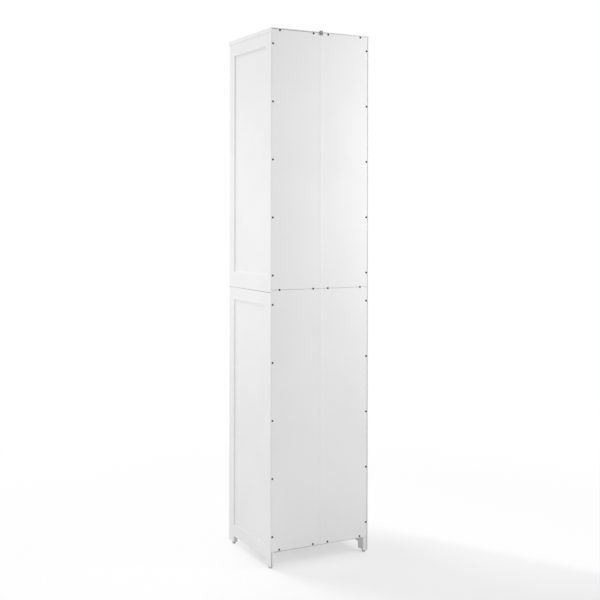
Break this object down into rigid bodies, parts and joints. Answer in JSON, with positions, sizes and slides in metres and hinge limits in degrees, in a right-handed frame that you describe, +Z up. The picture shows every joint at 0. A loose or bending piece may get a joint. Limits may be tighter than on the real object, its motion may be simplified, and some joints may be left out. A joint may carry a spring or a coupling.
{
  "type": "linen cabinet",
  "caption": "Tall narrow white linen cabinet in two stacked tiers, with frame-and-panel sides, short legs, inset framed doors on butt hinges, loose shelves and a scored sheet back.",
  "frame": {"origin": "on the floor, under the middle of the whole box", "axes": "+Z up, front and doors towards -Y, right side as seen from the front towards +X"},
  "size_m": [0.403, 0.3816, 1.9025],
  "materials": {
    "white_paint": "satin white paint on board",
    "back_sheet": "white coated hardboard, raw edges",
    "dowel_wood": "plain beech",
    "dark_steel": "blackened steel",
    "zinc": "zinc plated",
    "hinge_steel": "satin nickel",
    "knob_metal": "satin nickel",
    "glide_plastic": "light grey moulded plastic",
    "catch_plastic": "white moulded plastic",
    "magnet": "ferrite between steel poles"
  },
  "bodies": {
    "carcass": {"back_screws": "dark_steel", "bottom_panel": "white_paint", "cam_bolts": "zinc", "cam_locks": "zinc", "catch_housings": "catch_plastic", "catch_magnets": "magnet", "divider_panel": "white_paint", "foot_glides": "glide_plastic", "front_apron": "white_paint", "hinge_frame_leaves": "hinge_steel", "hinge_pins": "hinge_steel", "lower_back": "back_sheet", "lower_left_bottom_rail": "white_paint", "lower_left_field_panel": "white_paint", "lower_left_front_stile": "white_paint", "lower_left_rear_stile": "white_paint", "lower_left_top_rail": "white_paint", "lower_right_bottom_rail": "white_paint", "lower_right_field_panel": "white_paint", "lower_right_front_stile": "white_paint", "lower_right_rear_stile": "white_paint", "lower_right_top_rail": "white_paint", "lower_shelf_high": "white_paint", "lower_shelf_low": "white_paint", "shelf_pins": "zinc", "tier_dowels": "dowel_wood", "tip_bracket": "dark_steel", "top_panel": "white_paint", "upper_back": "back_sheet", "upper_left_bottom_rail": "white_paint", "upper_left_field_panel": "white_paint", "upper_left_front_stile": "white_paint", "upper_left_rear_stile": "white_paint", "upper_left_top_rail": "white_paint", "upper_right_bottom_rail": "white_paint", "upper_right_field_panel": "white_paint", "upper_right_front_stile": "white_paint", "upper_right_rear_stile": "white_paint", "upper_right_top_rail": "white_paint", "upper_shelf_high": "white_paint", "upper_shelf_low": "white_paint"},
    "upper_door": {"upper_door_bottom_rail": "white_paint", "upper_door_field_panel": "white_paint", "upper_door_hinge_leaves": "hinge_steel", "upper_door_hinge_stile": "white_paint", "upper_door_knob": "knob_metal", "upper_door_knob_screw": "zinc", "upper_door_latch_stile": "white_paint", "upper_door_strike_plate": "zinc", "upper_door_top_rail": "white_paint"},
    "lower_door": {"lower_door_bottom_rail": "white_paint", "lower_door_field_panel": "white_paint", "lower_door_hinge_leaves": "hinge_steel", "lower_door_hinge_stile": "white_paint", "lower_door_knob": "knob_metal", "lower_door_knob_screw": "zinc", "lower_door_latch_stile": "white_paint", "lower_door_strike_plate": "zinc", "lower_door_top_rail": "white_paint"}
  },
  "joints": [
    {"name": "upper_door_hinge", "type": "hinge", "parent": "carcass", "child": "upper_door", "pos_m": [-0.183, -0.16805, 1.4335], "axis": [0, 0, -1], "range_deg": [0, 180]},
    {"name": "lower_door_hinge", "type": "hinge", "parent": "carcass", "child": "lower_door", "pos_m": [-0.183, -0.16805, 0.5205], "axis": [0, 0, -1], "range_deg": [0, 180]}
  ]
}
